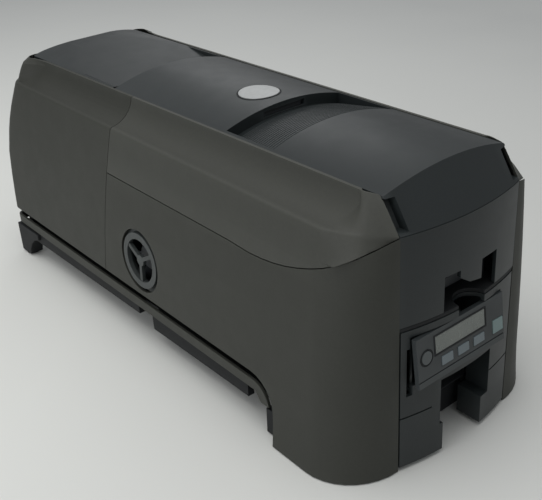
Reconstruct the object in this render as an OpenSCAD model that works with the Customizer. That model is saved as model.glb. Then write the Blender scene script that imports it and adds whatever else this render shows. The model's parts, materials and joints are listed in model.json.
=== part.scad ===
/* [Casing] */
// Length from the display face to the rear panel rim
body_length = 538; // [520:1:560]
// Half width of the casing wall before its taper
body_half = 99.3; // [90:0.1:110]
// Height of the shoulder edge
shoulder_z = 192; // [180:1:200]
// Height of the rim beside the top panel
rim_z = 214; // [205:1:220]
// Half width to the outside of the rim
rim_half = 62.4; // [60:0.1:70]
// Height of the crown of the top panel
crown_z = 222.7; // [216:0.1:230]
// Thickness of the moulded walls
wall = 2.6; // [2:0.1:4]
// Half width of the black front and top
front_half = 59.3; // [50:0.1:62]
// Narrowing of each side per millimetre of length
plan_taper = 0.0135; // [0:0.0005:0.03]
// Gap along the joint between the lid and the body
lid_gap = 0.8; // [0.4:0.1:1.5]
// Gap at the seam between the two modules
seam_gap = 0.6; // [0.3:0.1:1.5]
// Height of the lower edge of the side walls
side_low_z = 52.5; // [45:0.5:60]
// Where the front foot of the side wall ends
foot_y = -173; // [-185:1:-150]
// Radius where the side wall turns down into its foot
foot_r = 27; // [5:1:40]
// How far each side wall flares out at its foot
foot_flare = 5.9; // [0:0.1:8]

/* [Front] */
// Front edge of the side walls
front_y = -258; // [-265:1:-250]
// Foremost point of the bowed front
bow_y = -266; // [-269:1:-258]
// Radius of the bow in plan
bow_r = 221; // [150:1:400]
// Height where the front begins to slope back
slope_z = 190; // [180:1:200]
// Angle of the slope from upright
slope_deg = 32; // [20:1:45]
// Height of the card shelf
tray_z = 122; // [110:1:130]
// Half width of the card openings
card_half = 27.3; // [27.2:0.1:32]
// Side position of the card openings
opening_x = 3.7; // [-10:0.1:10]
// Top of the card entry opening
entry_top = 149.5; // [140:0.5:160]
// Foot of the card exit opening
exit_low = 28; // [20:1:40]
// Top of the card exit opening
exit_top = 67; // [55:1:72]
// Radius of the thumb notch
notch_r = 14; // [8:1:20]
// Side position of the thumb notch
notch_x = 5; // [-10:1:15]

/* [Display] */
// Left end of the display panel
bezel_left = -50.5; // [-55:0.5:-45]
// Right end of the display panel
bezel_right = 40; // [35:0.5:50]
// Foot of the display panel
bezel_z = 74; // [70:1:80]
// Height of the display panel along its face
bezel_h = 38.3; // [34:0.1:42]
// Lean of the display panel
bezel_deg = 6.75; // [0:0.25:12]
// Thickness of the display panel
bezel_t = 4; // [3:0.5:6]
// How far the keys stand out
key_out = 0.5; // [0.3:0.1:1.5]
// Clearance around a key
key_gap = 0.3; // [0.2:0.05:0.5]

/* [Top] */
// Radius of the crown across the machine
crown_r = 197.9; // [150:0.1:300]
// Thickness of the top skins
skin = 2.4; // [2:0.1:4]
// Deep edge of the front recess
recess_y = -80; // [-100:1:-60]
// Edge where the front recess runs out
recess_flush_y = -140; // [-170:1:-120]
// Slope of the front recess floor
recess_deg = 8.5; // [6:0.5:12]
// Rear edge of the lid over the rear module
lid_rear_y = 76; // [60:1:90]
// Front edge of the rear cover
rear_cover_y = 79.5; // [77:0.5:90]
// Edge where the rear recess runs out
rear_flush_y = 200; // [180:1:212]
// Slope of the rear recess floor
rear_recess_deg = 7.3; // [5:0.1:12]
// Rear edge of the top of the rear cover
rear_top_y = 229; // [220:1:230]
// Half width of both recesses
recess_half = 57; // [50:0.5:58]
// Lid hinge along the machine
lid_hinge_y = 46; // [40:1:60]
// Lid hinge height
lid_hinge_z = 214; // [205:1:216]
// Rear cover hinge along the machine
rear_hinge_y = 250.6; // [240:0.1:252]
// Rear cover hinge height
rear_hinge_z = 166; // [155:1:180]
// Radius of the rear cover hinge barrel
barrel_r = 6.6; // [5:0.1:9]

/* [Fan] */
// Fan centre along the machine
fan_y = 7; // [-20:1:40]
// Fan centre height
fan_z = 85.5; // [75:0.5:95]
// Radius of the vent in the side wall
vent_r = 28.6; // [26:0.1:38]

/* [Mechanism] */
// Height of the card path
path_z = 122.5; // [115:0.5:130]
// Radius of the rubber rollers
roller_r = 8; // [6:0.5:10]
// Radius of the roller shafts
shaft_r = 3; // [2:0.5:4]
// Running clearance of the shafts
run = 0.05; // [0.01:0.01:0.1]
// Inside face of the chassis plates
plate_x = 63; // [60:0.5:70]
// Thickness of the chassis plates
plate_t = 2; // [1.5:0.5:4]
// Pick roller position
pick_y = -205; // [-215:1:-195]
// Front feed roller position
feed_front_y = -160; // [-170:1:-150]
// Platen roller position
platen_y = -72; // [-90:1:-60]
// Rear feed roller position
feed_rear_y = 30; // [20:1:45]
// Card turner position
turner_y = 150; // [140:1:160]
// Radius of the turner discs
turner_r = 34; // [28:1:45]
// Height of the ribbon spools
spool_z = 166; // [160:1:170]
// Ribbon supply spool position
supply_y = -10; // [-20:1:0]
// Ribbon take-up spool position
takeup_y = -130; // [-135:1:-120]

/* [Hidden] */
$fn = 64;
half_length = body_length / 2;
rear_y = half_length - 3;
corner_ry = 45;
corner_x = 59;
cove_r = rim_z - shoulder_z + 0.1;
slope_run = 15 / 24;
roller_z = path_z - roller_r;
pinch_r = 5;
pinch_shaft_r = 2.5;
pinch_z = path_z + pinch_r + 0.3;
pulley_r = 9;
motor_y = -110;
motor_z = 75;
gate_y = -189;
gate_z = 118;
clean_y = -132;
clean_r = 6;
clean_z = path_z + clean_r + 0.3;
carrier_y = -40;
carrier_z = 178;
turner_roller_r = 6;
turner_gap = 0.4;
far = 400;
levels = [1, 3, 10, 20, 30, 42, 54, 70, 92, 115, 139, 151, 165, 172, 178, 184, 189, 190.5, 191.4, 192,
    192.3, 193, 194.2, 196, 198.5, 202, 206, 210, 214];
crease = [[60, 151], [-120, 151], [-145, 150], [-160, 150.8], [-172, 152.2], [-184, 154.4], [-196, 157.6],
    [-208, 161.6], [-220, 166.2], [-232, 172], [-242, 177.8], [-250, 183.4], [-258, 190], [-275, 203]];

function taper(y) = -plan_taper * y;
function side_x(z, y) = body_half + taper(y) - pow(max(0, z - 30), 2) / 1800
    + foot_flare * pow(max(0, 60 - z) / 60, 2);
function cove_x(z, y) = rim_half + (side_x(shoulder_z, y) - rim_half)
    * (1 - sqrt(1 - pow(min(1, (rim_z - z) / cove_r), 2)));
function round_in(z) = z <= 189 ? 0 : z <= 190.5 ? 0.25 : z <= 191.4 ? 0.9 : 2.2;
function wall_x(z, y) = z <= shoulder_z ? side_x(z, y) - round_in(z) : cove_x(z, y);
function inner_x(z, y) = min(wall_x(z, y), wall_x(min(z + wall, rim_z), y));
function face_y(z) = front_y + max(0, z - slope_z) * slope_run;
function back_y(z) = rear_y - 34 * pow(max(0, z - 100) / 114, 2.6);
function corner_r(z) = z <= 115 ? 10 : z <= 178 ? 10 + (z - 115) * 10 / 63 : z <= slope_z ? 20
    : 8 + 12 * pow((rim_z - min(z, rim_z)) / 24, 0.5);
function end_x(z, y) = z <= shoulder_z ? wall_x(z, y)
    : max(wall_x(z, y), 66 + 13 * pow((rim_z - min(z, rim_z)) / 22, 0.35));
function corner_len(z) = z <= slope_z ? corner_ry : 2 + 43 * pow((rim_z - min(z, rim_z)) / 24, 0.9);
function bend_x(z) = 69 + (206 - z) * 20 / 27;
function bend_y(z) = -232 - (206 - z) * 11 / 27;
function mix(a, b, t) = a * (1 - t) + b * t;
function bezier(a, b, c, t) = mix(mix(a, b, t), mix(b, c, t), t);

function round_corner(z, d) = let(ry = corner_ry, yc = face_y(z) + ry, rx = wall_x(z, yc) - corner_x)
    [for (a = [90:-10:0]) [corner_x + (rx - d) * cos(a), yc - (ry - d) * sin(a)]];
function cove_corner(z, d) = let(ry = corner_len(z), yc = face_y(z) + ry,
    rx = (d > 0 ? inner_x(z, yc) : wall_x(z, yc)) - corner_x)
    [for (a = [90:-10:0]) [corner_x + max(0.4, rx - d) * cos(a), yc - max(0.4, ry - d) * sin(a)]];
function facet_corner(z, d) = let(yc = max(face_y(z) + corner_len(z), bend_y(z) + 4),
    p0 = [(d > 0 && z > shoulder_z ? inner_x(z, yc) : wall_x(z, yc)) - d, yc],
    k = [bend_x(z) - 0.75 * d, bend_y(z) + 0.75 * d],
    p3 = [corner_x, face_y(z) + d], m1 = mix(p0, k, 0.45), m2 = mix(k, p3, 0.3))
    [p3, mix(m2, p3, 0.5), m2, bezier(m1, k, m2, 0.75), bezier(m1, k, m2, 0.5), bezier(m1, k, m2, 0.25),
    m1, mix(p0, m1, 0.66), mix(p0, m1, 0.33), p0];
function front_corner(z, d, lid) = lid && z >= 172 ? facet_corner(z, d)
    : z > shoulder_z ? cove_corner(z, d) : round_corner(z, d);
function rear_arc(z, d) = let(r = corner_r(z), y0 = back_y(z) - 38, y1 = back_y(z) - r,
    x0 = d > 0 ? inner_x(z, y0) : wall_x(z, y0),
    x1 = d > 0 ? min(end_x(z, y1), end_x(min(z + wall, rim_z), y1)) : end_x(z, y1),
    rx = min(r, max(4.2, x1 - 58)))
    concat([[x0 - d, y0], [mix(x0, x1, 0.4) - d, mix(y0, y1, 0.55)]],
    [for (a = [0:12:84]) [x1 - rx + (rx - d) * cos(a), y1 + (r - d) * sin(a)]]);
function half_section(z, d, lid) = concat(front_corner(z, d, lid), rear_arc(z, d),
    [[corner_x - 3, back_y(z) - d]]);
function section(z, d, lid) = let(h = half_section(z, d, lid), n = len(h))
    concat(h, [for (i = [n - 1:-1:0]) [-h[i][0], h[i][1]]]);
function loft_points(d, lid) = [for (i = [0:len(levels) - 1]) let(z = levels[i],
    zp = d > 0 ? (i == 0 ? z - 3 : i == len(levels) - 1 ? z + 3 : z) : z)
    for (p = section(z, d, lid)) [p[0], p[1], zp]];

module loft(d, lid) {
    pts = loft_points(d, lid);
    n = len(section(levels[0], d, lid));
    m = len(levels);
    sides = [for (i = [0:m - 2]) for (j = [0:n - 1]) let(a = i * n + j, b = i * n + (j + 1) % n)
        each [[a, a + n, b], [b, a + n, b + n]]];
    strips = [for (j = [0:n / 2 - 2]) [j, j + 1, n - 2 - j, n - 1 - j]];
    high = [for (s = strips) [for (k = [3:-1:0]) (m - 1) * n + s[k]]];
    polyhedron(points = pts, faces = concat(sides, strips, high), convexity = 8);
}

module block(from, to) {
    translate(from) cube(to - from);
}

module both_sides() {
    children();
    mirror([1, 0, 0]) children();
}

module rod(x0, x1, y, z, r) {
    translate([x0, y, z]) rotate([0, 90, 0]) cylinder(h = x1 - x0, r = r);
}

module side_view(x0, x1, points) {
    translate([x1, 0, 0]) rotate([0, -90, 0]) linear_extrude(x1 - x0)
        polygon([for (p = points) [p[1], p[0]]]);
}

module casing(lid) {
    difference() {
        loft(0, lid);
        loft(wall, lid);
    }
}

function seam_y(z) = 45 + 0.16 * (rim_z - z);

module lid_region(x0, x1) {
    side_view(x0, x1, concat([[seam_y(151) - seam_gap, 151 + lid_gap / 2]],
        [for (i = [1:len(crease) - 1]) [crease[i][0], crease[i][1] + lid_gap / 2]],
        [[-275, 230], [seam_y(230) - seam_gap, 230]]));
}

module body_region(x0, x1) {
    side_view(x0, x1, concat([[-280, 0], [foot_y - 2, 0]],
        [for (a = [0:15:90]) [foot_y + foot_r * (1 - cos(a)), side_low_z - foot_r * (1 - sin(a))]],
        [[seam_y(side_low_z) - seam_gap, side_low_z], [seam_y(151) - seam_gap, 151 - lid_gap / 2]],
        [for (i = [1:len(crease) - 1]) [crease[i][0], crease[i][1] - lid_gap / 2]], [[-280, 200]]));
}

module rear_region() {
    side_view(-120, 120, [[seam_y(side_low_z), side_low_z], [280, side_low_z], [280, 230],
        [seam_y(230), 230]]);
}

module crown(r, y0, y1) {
    translate([0, y0, crown_z - crown_r]) rotate([-90, 0, 0]) cylinder(h = y1 - y0, r = r, $fn = 256);
}

module tilted_crown(r, y, deg) {
    translate([0, y, crown_z]) rotate([deg, 0, 0]) translate([0, -far / 2, -crown_r]) rotate([-90, 0, 0])
        cylinder(h = far, r = r, $fn = 256);
}

module bow(r) {
    translate([0, bow_y + bow_r, -10]) cylinder(h = 300, r = r, $fn = 256);
}

slope_bow = 260;

module slope_form(r) {
    translate([0, bow_y + slope_bow * cos(slope_deg), slope_z - slope_bow * sin(slope_deg)])
        rotate([-slope_deg, 0, 0]) translate([0, 0, -far]) cylinder(h = 2 * far, r = r, $fn = 256);
}

module on_bezel() {
    translate([0, -half_length, bezel_z]) rotate([-bezel_deg, 0, 0]) children();
}

module base_pan_front() {
    color([0.06, 0.065, 0.07]) {
        difference() {
            block([-94, -232, 16.5], [94, 4, 34]);
            block([-88, -233, 15], [88, -1, 30]);
            block([-95, -233, 15], [95, -131, 30]);
            block([-32, -233, 29], [37, -168, 35]);
        }
        both_sides() translate([74, -205, 2]) cylinder(h = 29, r = 10);
        block([-58, -235.5, 3], [58, -232, 23.5]);
        both_sides() block([40, -235.5, 3], [58, -231, 34]);
        both_sides() side_view(92, 99.2,
            [[foot_y + 1, 1.5], [foot_y + 14, 1.5], [foot_y + 13, 24.5], [foot_y + 6.5, 24.5],
            [foot_y + 6.5, 33], [foot_y + 1, 33]]);
    }
}

module rear_foot() {
    side_view(83, 97,
        [[262, 2], [243, 2], [240.5, 9], [235, 17], [227, 24], [216, 28], [216, 34], [262, 34]]);
}

module base_pan_rear() {
    color([0.06, 0.065, 0.07]) {
        difference() {
            block([-94, 26, 22.5], [94, 256, 34]);
            block([-82, 32, 21], [82, 252, 30]);
        }
        block([-86, 4.8, 31], [86, 27, 34]);
        block([-86, 247, 33], [86, 255.5, 47]);
        both_sides() rear_foot();
    }
}

module skirt() {
    skirt_z = 40;
    inset = 1.4;
    gap_r = foot_r - 8;
    low_z = 35.5;
    arc_y = foot_y + foot_r;
    arc_z = side_low_z - foot_r;
    color([0.34, 0.33, 0.31]) intersection() {
        translate([0, 0, skirt_z - 14]) linear_extrude(20) difference() {
            polygon(section(skirt_z, inset, false));
            polygon(section(skirt_z, wall + inset, false));
        }
        side_view(0.2, 120, concat(
            [[270, arc_z + gap_r], [270, low_z], [arc_y - 3, low_z], [arc_y - 9, arc_z + 2]],
            [for (a = [6:12:90]) [arc_y - gap_r * cos(a), arc_z + gap_r * sin(a)]]));
    }
}

module skirt_right() {
    skirt();
}

module skirt_left() {
    mirror([1, 0, 0]) skirt();
}

module rubber_feet() {
    color([0.03, 0.03, 0.03]) both_sides() {
        translate([74, -205, 0]) cylinder(h = 2, r = 6.5);
        translate([90, 252, 0]) cylinder(h = 2, r = 6.5);
    }
}

module side_front_right() {
    color([0.34, 0.33, 0.31]) intersection() {
        casing(false);
        body_region(front_half, 120);
    }
}

module side_front_left() {
    color([0.34, 0.33, 0.31]) difference() {
        intersection() {
            casing(false);
            body_region(-120, -front_half);
        }
        rod(-120, -80, fan_y, fan_z, vent_r);
    }
}

panel_half = 72;
panel_low = 57;
panel_high = 98;
barrel_half = 59.2;

module rear_shell() {
    color([0.34, 0.33, 0.31]) {
        difference() {
            intersection() {
                casing(false);
                rear_region();
            }
            block([-panel_half, rear_y - 8, panel_low], [panel_half, rear_y + 8, panel_high]);
            block([-59.8, 40, rear_hinge_z - 3], [59.8, 280, 230]);
            rod(-59.8, 59.8, rear_hinge_y, rear_hinge_z, barrel_r + 0.6);
        }
        both_sides() difference() {
            intersection() {
                loft(1, false);
                block([60, 232, 152], [64, 262, 174]);
            }
            rod(59, 65, rear_hinge_y, rear_hinge_z, 2.5);
        }
    }
}

module rear_panel() {
    color([0.07, 0.075, 0.08]) difference() {
        union() {
            block([-panel_half + 0.3, rear_y - 5, panel_low + 0.3],
                [panel_half - 0.3, rear_y - 2, panel_high - 0.3]);
            difference() {
                block([-panel_half + 0.3, rear_y - 5, panel_low + 0.3],
                    [panel_half - 0.3, half_length, panel_high - 0.3]);
                block([-panel_half + 3, rear_y - 2, panel_low + 3],
                    [panel_half - 3, half_length + 1, panel_high - 3]);
            }
        }
        block([-62, rear_y - 6, 66], [-34, rear_y + 1, 87]);
        block([-16, rear_y - 6, 70], [-4, rear_y + 1, 81]);
        block([8, rear_y - 6, 68], [24, rear_y + 1, 82]);
        for (x = [36:5:61]) block([x, rear_y - 6, 62], [x + 2.5, rear_y + 1, 90]);
    }
}

module power_inlet() {
    color([0.03, 0.03, 0.03]) difference() {
        block([-61.8, rear_y - 26, 66.2], [-34.2, rear_y, 86.8]);
        block([-59.5, rear_y - 20, 68.5], [-36.5, rear_y + 1, 84.5]);
        for (x = [-54, -48, -42]) block([x - 1, rear_y - 23, 76], [x + 1, rear_y - 19, 80]);
    }
}

module data_ports() {
    color([0.62, 0.63, 0.64]) {
        difference() {
            block([-15.8, rear_y - 18, 70.2], [-4.2, rear_y, 80.8]);
            block([-14.5, rear_y - 14, 71.5], [-5.5, rear_y + 1, 79.5]);
        }
        block([-12, rear_y - 15, 74], [-8, rear_y - 5, 77]);
        difference() {
            block([8.2, rear_y - 20, 68.2], [23.8, rear_y, 81.8]);
            block([9.8, rear_y - 16, 69.8], [22.2, rear_y + 1, 80.2]);
        }
    }
}

module front_panel() {
    color([0.055, 0.06, 0.068]) difference() {
        intersection() {
            difference() {
                bow(bow_r);
                bow(bow_r - 3);
            }
            block([-front_half, -280, tray_z + 0.4], [front_half, -200, slope_z - 0.2]);
        }
        difference() {
            block([opening_x - card_half, -280, tray_z - 1], [opening_x + card_half, -200, entry_top]);
            tongue();
        }
    }
}

module tongue() {
    translate([0, -200, 0]) rotate([90, 0, 0]) linear_extrude(90)
        polygon([[-9, 170], [-9, 144], [-6.5, 142], [1, 137], [13.5, 134.5], [13.5, 170]]);
}

module lower_front() {
    color([0.055, 0.06, 0.068]) {
        difference() {
            intersection() {
                bow(bow_r);
                block([-front_half, -280, 4], [front_half, -243, 118.6]);
            }
            intersection() {
                bow(bow_r - 3);
                block([-front_half - 1, -280, 69], [front_half + 1, -242, 115.6]);
            }
            both_sides() intersection() {
                bow(bow_r - 3);
                block([card_half + 7, -280, 6.4], [front_half - wall - 1.2, -242, 66]);
            }
            block([opening_x - card_half, -280, exit_low], [opening_x + card_half, -240, exit_top]);
            block([-20.4, -280, 0], [22, -240, exit_low + 1]);
            block([bezel_left - 0.6, -280, bezel_z - 1.4], [bezel_right + 0.6, -258, bezel_z + bezel_h + 0.8]);
            block([bezel_left - 3, -280, 65], [bezel_left + 2, -254, 104]);
            block([bezel_right - 2, -280, 68], [bezel_right + 4.5, -254, 106]);
            translate([notch_x, bow_y, 112]) cylinder(h = 10, r = notch_r);
            both_sides() difference() {
                block([card_half + 4.2, -280, 46.6], [front_half + 1, -250, 47.8]);
                bow(bow_r - 1);
            }
            both_sides() difference() {
                block([front_half - 1.2, -280, 3], [front_half + 1, -243, 119]);
                bow(bow_r - 4);
            }
        }
        for (x = [-34, 21]) difference() {
            intersection() {
                bow(bow_r - 1);
                block([x, -280, 66], [x + 3, -243, 117]);
            }
            on_bezel() block([-60, -20, -10], [60, bezel_t + 0.01, 50]);
        }
    }
}

module bezel_hole(x, z, w, h) {
    block([x - w / 2, -2, z - h / 2], [x + w / 2, bezel_t + 2, z + h / 2]);
}

power_x = -41.5;
power_z = 21.5;
key_z = 12.2;
keys_x = [-21.3, -4.5, 12.2];
user_x = 33.1;
user_z = 14.2;
key_w = 11.5;
key_h = 7;
user_w = 11;
user_h = 10.5;
window_x = [-32.4, 19.5];
window_z = [20, 33.4];

module display_bezel() {
    color([0.16, 0.17, 0.19]) on_bezel() difference() {
        block([bezel_left, 0, 0], [bezel_right, bezel_t, bezel_h]);
        translate([power_x, -1, power_z]) rotate([-90, 0, 0]) cylinder(h = bezel_t + 2, r = 5 + key_gap);
        for (x = keys_x) bezel_hole(x, key_z, key_w + 2 * key_gap, key_h + 2 * key_gap);
        bezel_hole(user_x, user_z, user_w + 2 * key_gap, user_h + 2 * key_gap);
        block([window_x[0], -1, window_z[0]], [window_x[1], 0.8, window_z[1]]);
        block([bezel_left - 1, -1, 4.6], [bezel_right + 1, 0.7, 5.5]);
    }
}

module display_window() {
    color([0.5, 0.55, 0.53]) on_bezel()
        block([window_x[0] + 0.1, 0.1, window_z[0] + 0.1], [window_x[1] - 0.1, 0.8, window_z[1] - 0.1]);
}

module power_button() {
    color([0.3, 0.31, 0.33]) on_bezel() translate([power_x, 0, power_z]) rotate([-90, 0, 0]) {
        translate([0, 0, -key_out]) cylinder(h = bezel_t + key_out + 1.5, r = 5);
        translate([0, 0, bezel_t + 0.3]) cylinder(h = 1.2, r = 6.4);
    }
}

module soft_key(x) {
    color([0.2, 0.21, 0.23]) on_bezel() {
        block([x - key_w / 2, -key_out, key_z - key_h / 2], [x + key_w / 2, bezel_t + 1.5, key_z + key_h / 2]);
        block([x - key_w / 2 - 1, bezel_t + 0.3, key_z - key_h / 2 - 1],
            [x + key_w / 2 + 1, bezel_t + 1.5, key_z + key_h / 2 + 1]);
    }
}

module soft_key_left() {
    soft_key(keys_x[0]);
}

module soft_key_middle() {
    soft_key(keys_x[1]);
}

module soft_key_right() {
    soft_key(keys_x[2]);
}

module user_key() {
    color([0.5, 0.51, 0.53]) on_bezel() {
        block([user_x - user_w / 2, -key_out, user_z - user_h / 2],
            [user_x + user_w / 2, bezel_t + 1.5, user_z + user_h / 2]);
        block([user_x - user_w / 2 - 1, bezel_t + 0.3, user_z - user_h / 2 - 1],
            [user_x + user_w / 2 + 1, bezel_t + 1.5, user_z + user_h / 2 + 1]);
    }
}

module input_tray() {
    tray_t = 3;
    color([0.055, 0.06, 0.068]) difference() {
        union() {
            intersection() {
                bow(bow_r - 0.4);
                block([-front_half, -280, tray_z - tray_t], [front_half, -236, tray_z]);
            }
            block([-36, -237, tray_z - tray_t], [39, -193.5, tray_z]);
            translate([opening_x, 0, 0]) both_sides()
                block([card_half + 0.7, -252, tray_z - tray_t], [card_half + 2.7, -193.5, 150]);
            both_sides() block([card_half + 5, -200, tray_z - tray_t], [plate_x - 0.2, -196, tray_z + 6]);
        }
        translate([notch_x, bow_y, tray_z - 10]) cylinder(h = 20, r = notch_r);
        block([-27.5, pick_y - 9, tray_z - tray_t - 1], [27.5, pick_y + 9, tray_z + 1]);
    }
}

module card_weight() {
    color([0.2, 0.2, 0.21]) {
        block([opening_x - 24, -246, tray_z + 2], [opening_x + 24, -216, tray_z + 10]);
        block([opening_x - 27, -238, tray_z + 4], [opening_x + 27, -232, tray_z + 8]);
    }
}

module output_tray() {
    color([0.055, 0.06, 0.068]) {
        translate([opening_x, 0, 0]) {
            side_view(-card_half, card_half, [[-240, 29], [-176, 60], [-176, 63], [-241, 31.5]]);
            both_sides() side_view(card_half, card_half + 2, [[-240, 24], [-172, 40], [-172, 74], [-240, 66]]);
        }
        block([0.2 - plate_x, -178, 44], [opening_x - card_half - 1, -173, 52]);
        block([opening_x + card_half + 1, -178, 44], [plate_x - 0.2, -173, 52]);
    }
}

module plate_shape() {
    side_view(plate_x, plate_x + plate_t, [[-226, 60], [-200, 34.2], [232, 34.2], [232, 150], [205, 186],
        [10, 186], [-205, 186], [-226, 176]]);
}

module plate_bores() {
    for (y = [pick_y, feed_front_y, platen_y, feed_rear_y]) rod(60, 68, y, roller_z, shaft_r + run);
    for (y = [feed_front_y, feed_rear_y]) rod(60, 68, y, pinch_z, pinch_shaft_r + run);
    rod(60, 68, clean_y, clean_z, pinch_shaft_r + run);
    rod(60, 68, gate_y, gate_z, 2 + run);
    rod(60, 68, carrier_y, carrier_z, 3 + run);
    rod(60, 68, turner_y, path_z, 4 + run);
    block([60, -66, 50], [68, -30, 90]);
    block([60, 50, 50], [68, 100, 95]);
    block([60, -100, 138], [68, -60, 162]);
    block([60, 60, 130], [68, 95, 170]);
}

module chassis_right() {
    color([0.6, 0.61, 0.62]) difference() {
        plate_shape();
        plate_bores();
        rod(60, 68, motor_y, motor_z, 6);
    }
}

module chassis_left() {
    color([0.6, 0.61, 0.62]) mirror([1, 0, 0]) difference() {
        plate_shape();
        plate_bores();
    }
}

module tie_bars() {
    color([0.7, 0.71, 0.72]) for (p = [[-150, 60], [-20, 100], [60, 112], [210, 60]])
        rod(-plate_x + 0.02, plate_x - 0.02, p[0], p[1], 4);
}

module roller(y, rubber_half) {
    color([0.1, 0.1, 0.1]) rod(-rubber_half, rubber_half, y, roller_z, roller_r);
    color([0.75, 0.75, 0.76]) {
        rod(-68, 76, y, roller_z, shaft_r);
        both_sides() rod(plate_x - 2.5, plate_x - 0.3, y, roller_z, 4.5);
    }
    color([0.85, 0.85, 0.82]) {
        rod(68, 75, y, roller_z, pulley_r);
        rod(67, 68.4, y, roller_z, pulley_r + 1.6);
        rod(74.6, 76, y, roller_z, pulley_r + 1.6);
    }
}

module pick_roller() {
    roller(pick_y, 26);
}

module feed_roller_front() {
    roller(feed_front_y, 30);
}

module platen_roller() {
    roller(platen_y, 32);
}

module feed_roller_rear() {
    roller(feed_rear_y, 30);
}

module idler(y, z, r) {
    color([0.12, 0.12, 0.12]) rod(-30, 30, y, z, r);
    color([0.75, 0.75, 0.76]) {
        rod(-67, 67, y, z, pinch_shaft_r);
        both_sides() rod(plate_x - 2.5, plate_x - 0.3, y, z, 4);
    }
}

module pinch_roller_front() {
    idler(feed_front_y, pinch_z, pinch_r);
}

module pinch_roller_rear() {
    idler(feed_rear_y, pinch_z, pinch_r);
}

module cleaning_roller() {
    idler(clean_y, clean_z, clean_r);
}

module drive_motor() {
    color([0.25, 0.25, 0.27]) {
        rod(18, 60, motor_y, motor_z, 18);
        rod(60, plate_x - 0.02, motor_y, motor_z, 21);
        rod(plate_x - 0.1, 66, motor_y, motor_z, 5.6);
    }
}

module motor_pulley() {
    color([0.75, 0.75, 0.76]) rod(66.3, 77.5, motor_y, motor_z, 2.5);
    color([0.85, 0.85, 0.82]) {
        rod(68, 75, motor_y, motor_z, pulley_r);
        rod(67, 68.4, motor_y, motor_z, pulley_r + 1.6);
        rod(74.6, 76, motor_y, motor_z, pulley_r + 1.6);
    }
}

module belt_loop(r) {
    hull() {
        for (p = [[pick_y, roller_z], [feed_rear_y, roller_z], [motor_y, motor_z]])
            translate([p[1], p[0]]) circle(r = r, $fn = 48);
    }
}

module drive_belt() {
    color([0.04, 0.04, 0.04]) translate([74.2, 0, 0]) rotate([0, -90, 0]) linear_extrude(5.4) difference() {
        belt_loop(pulley_r + 1.3);
        belt_loop(pulley_r + 0.2);
    }
}

module exit_gate() {
    color([0.2, 0.21, 0.23]) {
        rod(-66, 66, gate_y, gate_z, 2);
        rod(-27, 27, gate_y, gate_z, 3.4);
        side_view(-27, 27, [[gate_y, gate_z], [gate_y - 1.4, gate_z + 3.1],
            [-174, path_z - 0.9], [-172, path_z - 2.4],
            [gate_y + 2, gate_z - 1]]);
    }
}

frame_x = 42;

module ribbon_frame() {
    color([0.1, 0.11, 0.13]) {
        both_sides() difference() {
            side_view(frame_x, frame_x + 3, [[-150, 146], [-112, 146], [-100, 170], [-52, 170], [-30, 146],
                [10, 146], [10, 184], [-150, 184]]);
            rod(frame_x - 1, frame_x + 4, supply_y, spool_z, 4 + run);
            rod(frame_x - 1, frame_x + 4, takeup_y, spool_z, 4 + run);
            rod(frame_x - 1, frame_x + 4, carrier_y, carrier_z, 3.6);
        }
        rod(-frame_x - 0.5, frame_x + 0.5, -148, 150, 2);
        rod(-frame_x - 0.5, frame_x + 0.5, 8, 150, 2);
        both_sides() block([frame_x + 2.5, -148, 150], [plate_x - 0.2, -142, 156]);
        both_sides() block([frame_x + 2.5, 0, 150], [plate_x - 0.2, 6, 156]);
    }
}

module spool(y, wound) {
    color([0.75, 0.75, 0.72]) rod(-48, 48, y, spool_z, 4);
    color([0.75, 0.75, 0.72]) both_sides() rod(34, 41.4, y, spool_z, 8);
    color([0.15, 0.13, 0.2]) rod(-34, 34, y, spool_z, wound);
}

module supply_spool() {
    spool(supply_y, 15);
}

module takeup_spool() {
    spool(takeup_y, 12);
}

module ribbon_film() {
    film_z = 126.3;
    film_t = 0.4;
    path = [[-3.4, 151.2], [-56, film_z], [-88, film_z], [-136.2, 154.4]];
    color([0.2, 0.1, 0.25]) side_view(-32, 32, concat(path,
        [for (i = [3:-1:0]) [path[i][0], path[i][1] + film_t]]));
}

module printhead_carrier() {
    color([0.45, 0.46, 0.48]) {
        difference() {
            side_view(-36, 36,
                [[-34, 172], [-34, 184], [-64, 184], [-86, 150], [-86, 136], [-60, 136], [-60, 150]]);
            side_view(-30, 30,
                [[-62, 185], [-34, 185], [-34, 172], [-58, 151], [-58, 145], [-80, 145], [-80, 152]]);
        }
        rod(-66, 66, carrier_y, carrier_z, 3);
        both_sides() rod(48, 62, carrier_y, carrier_z, 5);
    }
}

module printhead() {
    color([0.85, 0.83, 0.75]) side_view(-30, 30, [[-84, 136], [-84, 131], [-74, 127.6], [-70, 127.6], [-62, 131],
        [-62, 136]]);
}

module control_board() {
    color([0.05, 0.25, 0.12]) block([82, 40, 56], [83.6, 205, 148]);
    color([0.1, 0.1, 0.1]) {
        block([83.6, 70, 80], [86, 95, 105]);
        block([83.6, 120, 90], [85.6, 140, 110]);
        block([83.6, 160, 66], [86.4, 190, 80]);
        block([76, 60, 60], [82, 100, 70]);
    }
    color([0.7, 0.7, 0.7]) for (p = [[46, 62], [46, 142], [199, 62], [199, 142]])
        rod(plate_x + plate_t, 82, p[0], p[1], 3);
}

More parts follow.
